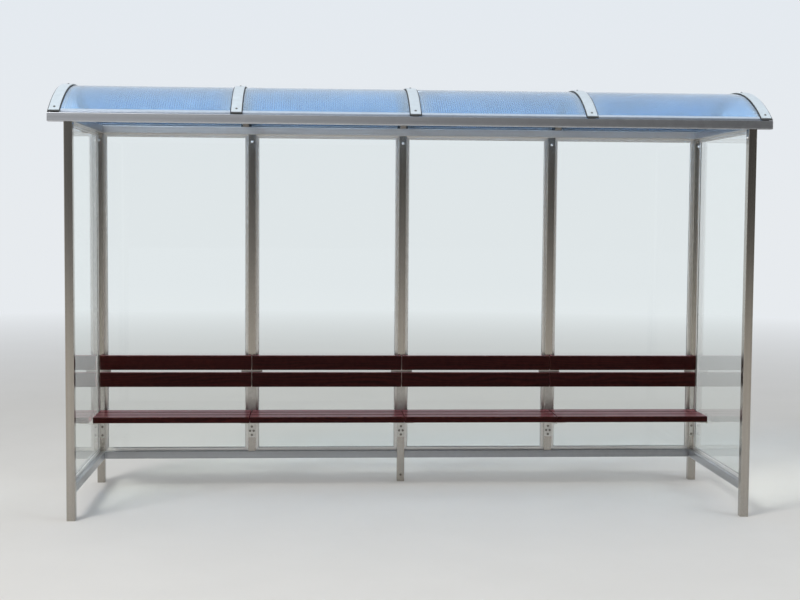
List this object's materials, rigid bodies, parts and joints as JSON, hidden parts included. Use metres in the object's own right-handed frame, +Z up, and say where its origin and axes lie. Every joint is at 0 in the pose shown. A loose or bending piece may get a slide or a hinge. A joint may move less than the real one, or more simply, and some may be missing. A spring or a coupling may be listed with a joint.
{
  "type": "bus shelter",
  "caption": "Open-fronted bus shelter with a tube frame, glazed back and side walls, an arched twin-wall sheet roof and a slatted timber bench.",
  "frame": {"origin": "centre of the shelter's footprint at ground level, under the post feet", "axes": "+X along the shelter to the right as seen from the open front, +Y from the open front to the glazed back, +Z up"},
  "size_m": [4.236, 1.2134, 2.5828],
  "materials": {
    "frame_aluminium": "satin, drawn along the tubes",
    "bright_aluminium": "bright mill finish",
    "clear_glass": "clear polished",
    "roof_sheet": "clear twin-wall sheet with fine flutes",
    "black_rubber": "matt black",
    "stained_wood": "dark red-brown gloss stain",
    "bracket_steel": "zinc grey satin"
  },
  "bodies": {
    "root": {"front_post_left": "frame_aluminium", "front_post_right": "frame_aluminium", "corner_post_left": "frame_aluminium", "corner_post_right": "frame_aluminium", "middle_post": "frame_aluminium", "mullion_left": "frame_aluminium", "mullion_right": "frame_aluminium", "front_beam": "frame_aluminium", "back_beam": "frame_aluminium", "top_rail_left": "frame_aluminium", "top_rail_right": "frame_aluminium", "beam_end_caps": "frame_aluminium", "bottom_rail_back_left": "frame_aluminium", "bottom_rail_back_right": "frame_aluminium", "bottom_rail_left": "frame_aluminium", "bottom_rail_right": "frame_aluminium", "roof_ribs": "frame_aluminium", "back_glazing_beads": "bright_aluminium", "side_glazing_beads_left": "bright_aluminium", "side_glazing_beads_right": "bright_aluminium", "edge_trims_front": "bright_aluminium", "edge_trims_back": "bright_aluminium", "cover_strips": "bright_aluminium", "back_glass_1": "clear_glass", "back_glass_2": "clear_glass", "back_glass_3": "clear_glass", "back_glass_4": "clear_glass", "side_glass_left": "clear_glass", "side_glass_right": "clear_glass", "roof_sheet_1": "roof_sheet", "roof_sheet_2": "roof_sheet", "roof_sheet_3": "roof_sheet", "roof_sheet_4": "roof_sheet", "cover_strip_gaskets": "black_rubber", "bench_seat_1": "stained_wood", "bench_back_1": "stained_wood", "bench_seat_2": "stained_wood", "bench_back_2": "stained_wood", "bench_seat_3": "stained_wood", "bench_back_3": "stained_wood", "bench_seat_4": "stained_wood", "bench_back_4": "stained_wood", "bench_brackets": "bracket_steel"}
  },
  "joints": []
}
